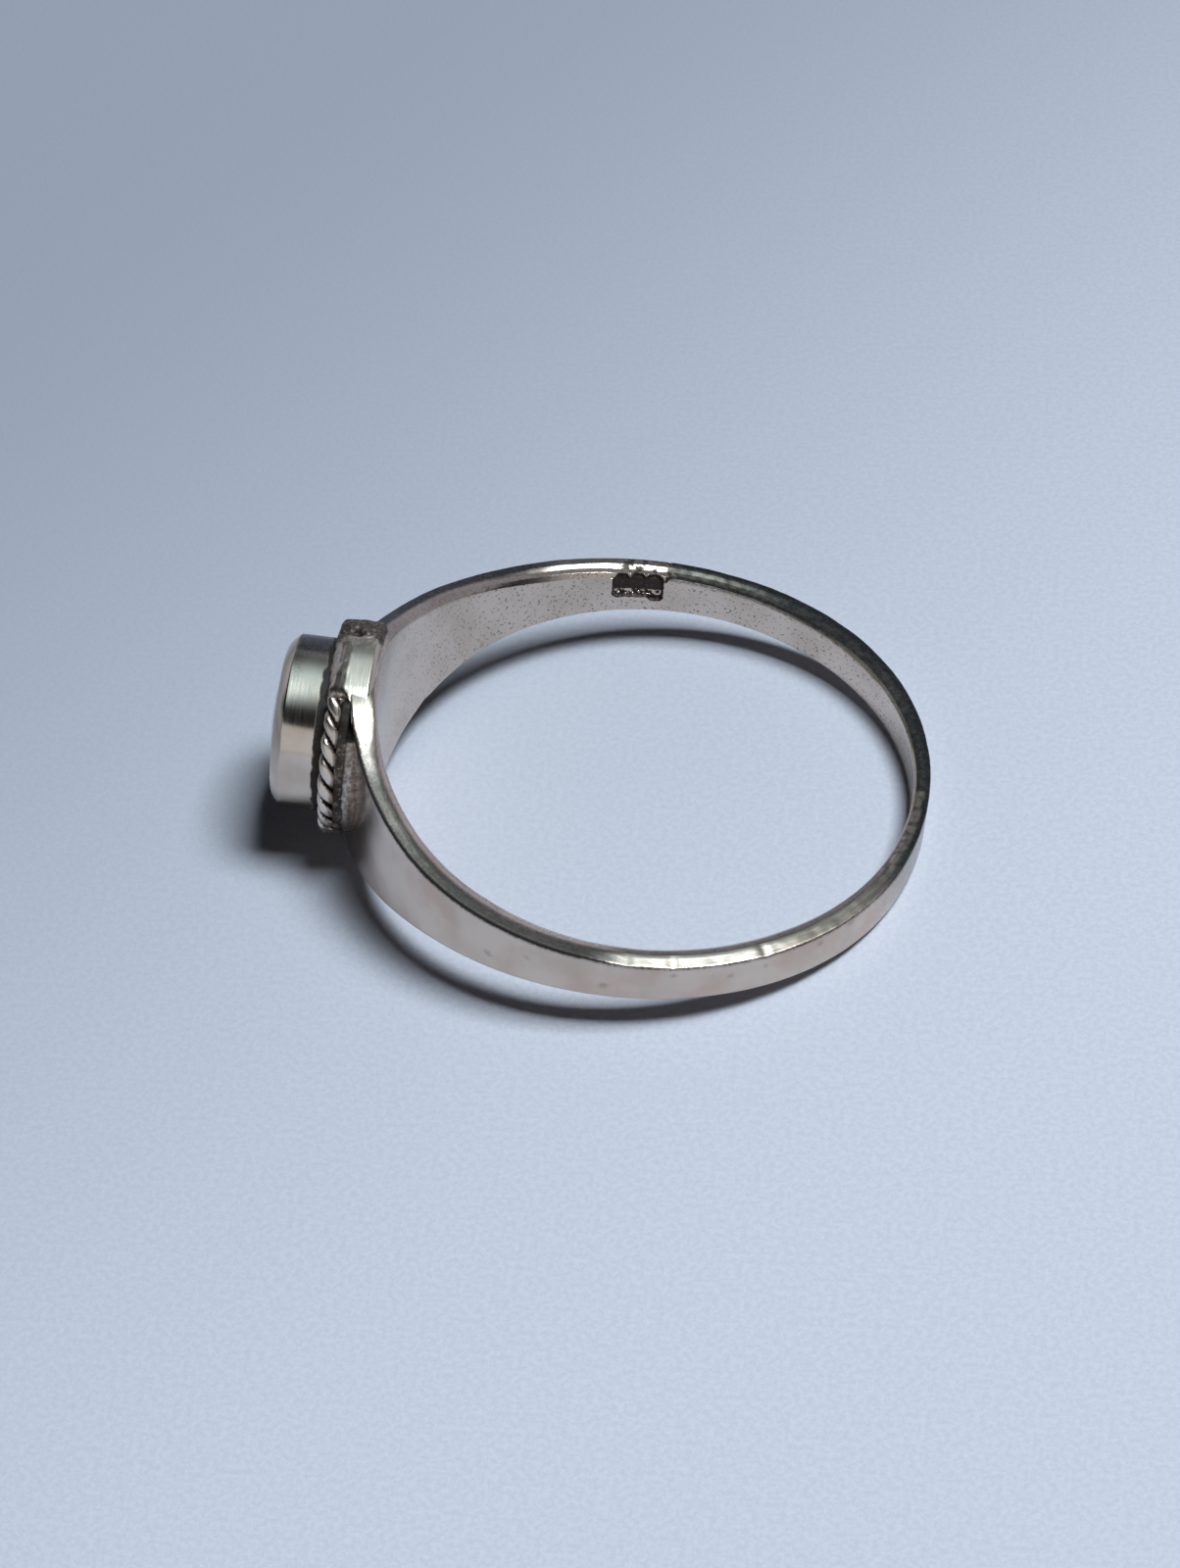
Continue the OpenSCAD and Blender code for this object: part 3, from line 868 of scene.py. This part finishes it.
lug = bmesh.new()
chain(lug, LUG_SECTION, closed=True)
cut_long_edges(lug, 0.045)
bmesh.ops.translate(lug, verts=lug.verts, vec=(0, LUG_TOP[0][0], 0))
bmesh.ops.spin(lug, geom=lug.verts[:] + lug.edges[:], angle=0, steps=LUG_STEPS, axis=(0, 0, 1),
               dvec=(0, (LUG_TOP[-1][0] - LUG_TOP[0][0]) / LUG_STEPS, 0), use_duplicate=False)
close_ends(lug)
paintable(lug, "tarnish", "film")
for vert in lug.verts:
    point = vert.co.copy()
    rise, across, reach = point
    on_top = smoothstep(-0.6, -0.3, rise)
    over_rope = smoothstep(9.85, 10.15, reach)
    far = smoothstep(0.1, 1.2, across)
    height = from_table(LUG_TOP, across, 1)

    # On the hole's side the section keeps inside the band's inner edge
    band_angle = math.degrees(math.asin(abs(across + HEAD_OFF_Y) / 9.5))
    face = band_size(band_angle, 1) - HEAD_OFF_Z
    height += rise + max(-0.04 - height - rise + face, 0) * smoothstep(9.3, 9.05, reach)

    # The near end rounds off over the rope, back into the band's outer face
    near_end = bulge((NEAR_END - across) / NEAR_ROUND)
    height -= 0.5 * near_end * over_rope + 0.12 * smoothstep(-1.3, -2.3, across)
    flush = math.sqrt(CROWN_R ** 2 - (across + HEAD_OFF_Y) ** 2) - 0.03
    point.z -= near_end * max(reach - flush, 0)

    lumps = rumble(point, 0.45, 19) + 0.5 * rumble(point, 0.2, 20)
    height += lumps * on_top * (0.07 * far + 0.02 * over_rope) * smoothstep(9.15, 9.4, reach)
    point.z += 0.05 * lumps * smoothstep(10.1, 10.4, reach)
    pit = math.exp(-0.7 * math.hypot((across - PIT_Y) / 0.15, (reach - PIT_Z) / 0.2) ** 4) * on_top
    vert.co = Vector((height - PIT_DEPTH * pit, across, point.z))

    brown = smoothstep(0.25, 0.8, across + 0.25 * lumps)
    stain = 0.45 * over_rope * smoothstep(0.1, 0.6, rumble(point, 0.3, 25))
    # Painted shade: the underside over the rope, and the near end beside the band's edge, are black
    inner = smoothstep(-0.35, -0.6, rise) * smoothstep(9.9, 10.2, reach)
    edge = smoothstep(0.12, 0.5, near_end) * smoothstep(9.78, 9.9, reach)
    paint(lug, vert, tarnish=max(0.75 * brown, stain, inner, edge, 1.1 * pit),
          film=max(0.3 * smoothstep(10.0, 10.3, reach), 0.4 * brown, edge, inner))
wrap_uv(lug, around)
finished(lug, "solder_lug", SOLDER_SILVER, "silver_ring", AT_REST @ ON_HEAD)

# %% [markdown]
# Abalone shell is nacre: hundreds of thin plates whose light interferes, so it shows sea green, blue and
# rose in flowing bands, with thin dark lines where the animal paused. It is cut as a low dome and
# polished to a wet gloss. The bands are a noise that is bent by another noise, and a coat on the shader
# gives the polish.

# %% Abalone
DOME_H = 0.4
DOME_STEPS = 24
BEND = 0.0022


def abalone_material():
    """Abalone nacre, cut and polished: deep sea colours under a wet gloss."""
    material, tree = new_material("abalone_nacre_polished")
    place = add(tree, "ShaderNodeTexCoord").outputs["Object"]
    bend = add(tree, "ShaderNodeTexNoise", Vector=place, Scale=per_mm(2.2), Detail=2.0).outputs["Color"]
    bent = add(tree, "ShaderNodeMix", {"data_type": "VECTOR"}, in_0=BEND, in_4=place, in_5=bend).outputs[1]
    stretched = add(tree, "ShaderNodeMapping", Vector=bent, Rotation=(0.5, 0.2, 0.3),
                    Scale=(1.0, 0.45, 1.3)).outputs["Vector"]
    bands = add(tree, "ShaderNodeTexNoise", Vector=stretched, Scale=per_mm(1.1), Detail=3.0,
                Distortion=0.6).outputs["Fac"]
    shades = ramp(tree, bands, [(0.26, "#0e2f3f"), (0.36, "#14606e"), (0.43, "#2fa58c"), (0.48, "#8fd9a8"),
                                (0.52, "#3f9fb8"), (0.57, "#3b5fa8"), (0.63, "#a86fa5"), (0.7, "#e2a9b4"),
                                (0.78, "#2b8f86")])
    growth = add(tree, "ShaderNodeTexWave", {"wave_type": "BANDS", "bands_direction": "Z"}, Vector=bent,
                 Scale=per_mm(3.4), Distortion=5.0, Detail=3.0, Detail_Scale=1.5).outputs["Fac"]
    base = blend(tree, fade(tree, growth, 0.03, 0.16), "#0b1a1c", shades)
    shader = add(tree, "ShaderNodeBsdfPrincipled", Base_Color=base, Metallic=0.35, Roughness=0.22, IOR=1.56,
                 Coat_Weight=1.0, Coat_Roughness=0.04)
    add(tree, "ShaderNodeOutputMaterial", Surface=shader.outputs["BSDF"])
    return material


stone = bmesh.new()
stone_r = CUP_R - CUP_WALL - STONE_GAP
dome_r = LIP_R - STONE_GAP
dome_z = RIM_Z - RIM_EDGE
shares = [1 - i / DOME_STEPS for i in range(DOME_STEPS + 1)]
chain(stone, [(0, FLOOR_Z + STONE_GAP), (stone_r, FLOOR_Z + STONE_GAP), (stone_r, CUP_TOP - 0.2)]
      + [(dome_r * t, dome_z + DOME_H * (1 - t ** 2)) for t in shares], closed=False)
turn_round(stone, 128)
finished(stone, "abalone_cabochon", abalone_material(), "abalone_stone", AT_REST @ ON_HEAD)

# %% [markdown]
# The floor is a sheet of matt paper with a fine tooth. It is large, so that the silver has something to
# reflect right out to the horizon. A painted falloff of the light darkens its colour towards the back left.

# %% Paper floor
paper, paper_tree = new_material("paper_matt_pale_blue")
# Uncoated paper scatters nearly all light, so it is rough, and it shines only weakly
paper_place = add(paper_tree, "ShaderNodeTexCoord").outputs["Object"]
tooth = add(paper_tree, "ShaderNodeTexNoise", Vector=paper_place, Scale=per_mm(0.2), Detail=5.0,
            Roughness=0.7).outputs["Fac"]
paper_bump = add(paper_tree, "ShaderNodeBump", Strength=0.6, Distance=0.03 * MM,
                 Height=tooth).outputs["Normal"]
paper_colour = blend(paper_tree, fade(paper_tree, tooth, 0.35, 0.65), "#c2c4d0", "#ccceda")
paper_axes = add(paper_tree, "ShaderNodeSeparateXYZ", Vector=paper_place).outputs
# Painted light falloff: darker towards the back left, away from the key light
towards_light = maths(paper_tree, "MULTIPLY_ADD", paper_axes["Y"], -0.8, paper_axes["X"])
painted_light = fade(paper_tree, towards_light, -55 * MM, 25 * MM)
paper_colour = blend(paper_tree, maths(paper_tree, "SUBTRACT", 1, painted_light), paper_colour, "#999eab")
paper_shader = add(paper_tree, "ShaderNodeBsdfPrincipled", Base_Color=paper_colour, Roughness=0.9,
                   Normal=paper_bump, Specular_IOR_Level=0.2)
add(paper_tree, "ShaderNodeOutputMaterial", Surface=paper_shader.outputs["BSDF"])

floor_bm = bmesh.new()
bmesh.ops.create_grid(floor_bm, x_segments=1, y_segments=1, size=1.5)
floor_mesh = bpy.data.meshes.new("paper_floor")
floor_bm.to_mesh(floor_mesh)
floor_bm.free()
floor_mesh.materials.append(paper)
floor = bpy.data.objects.new("paper_floor", floor_mesh)
bpy.context.scene.collection.objects.link(floor)
print("paper floor, mm across:", round(floor.dimensions.x / MM))

# %% [markdown]
# Silver shows what is round it, so the light is half of its look. One large key light, high on the
# right and far away, gives the shadows and the brightest strips. Everything else is the room, which is
# seen only in reflections and lights nothing matt: a pale glow overhead makes the long highlights on the
# top face and the cup, it is dim behind, with a pale band low down, and pale and grey low towards the
# viewer and on the left.

# %% Lights
def panel(name, direction, distance_mm, size_mm, watts, tint):
    """A soft rectangular light that lies in this direction from the ring and faces it."""
    data = bpy.data.lights.new(name, "AREA")
    data.shape = "RECTANGLE"
    data.size, data.size_y = (s * MM for s in size_mm)
    data.energy = watts
    data.color = colour(tint)[:3]
    light = bpy.data.objects.new(name, data)
    light.location = Vector(direction).normalized() * distance_mm * MM
    light.rotation_mode = "QUATERNION"
    light.rotation_quaternion = Vector(direction).to_track_quat("Z", "Y")
    light.visible_camera = False
    bpy.context.scene.collection.objects.link(light)


panel("key_light", (0.39, -0.03, 1.0), 700, (250, 250), 6.1, "#eef9ff")

# %% Room
GLOW_AT = (0.12, 0.09)  # the glow overhead: its middle and its half widths, as parts of a heading
GLOW_HALF = (0.4, 0.66)

world = bpy.data.worlds.new("soft_room")
bpy.context.scene.world = world
world.use_nodes = True
room = world.node_tree
room.nodes.clear()
heading = add(room, "ShaderNodeTexCoord").outputs["Generated"]
aim = add(room, "ShaderNodeSeparateXYZ", Vector=heading)
side, behind, above = (aim.outputs[key] for key in "XYZ")
dim_behind = fade(room, behind, 0.1, 0.5)
pale_behind = maths(room, "MULTIPLY", fade(room, above, 0.68, 0.48), fade(room, behind, 0.0, 0.4))
pale_viewer = maths(room, "MULTIPLY", fade(room, above, 0.61, 0.57), fade(room, behind, -0.3, -0.7))
grey_left = maths(room, "MULTIPLY", fade(room, above, 0.4, 0.15), fade(room, side, -0.3, -0.7))
sky = blend(room, dim_behind, "#1e2021", "#5d6668")
sky = blend(room, pale_behind, sky, "#b4b6c6")
sky = blend(room, pale_viewer, sky, "#ccd0d6")
sky = blend(room, grey_left, sky, "#99a1aa")
off_glow = add(room, "ShaderNodeVectorMath", {"operation": "MULTIPLY_ADD"}, in_0=heading,
               in_1=(1 / GLOW_HALF[0], 1 / GLOW_HALF[1], 0),
               in_2=(-GLOW_AT[0] / GLOW_HALF[0], -GLOW_AT[1] / GLOW_HALF[1], 0)).outputs["Vector"]
off_glow = add(room, "ShaderNodeVectorMath", {"operation": "LENGTH"}, in_0=off_glow).outputs["Value"]
sky = blend(room, fade(room, off_glow, 1.0, 0.3), sky, "#d4f3f9")
air = add(room, "ShaderNodeBackground", Color=sky, Strength=1.0)
add(room, "ShaderNodeOutputWorld", Surface=air.outputs["Background"])
world.cycles_visibility.diffuse = False

bpy.context.scene.view_settings.view_transform = "Standard"
print("lights:", [light.name for light in bpy.data.lights], "and the room", world.name)
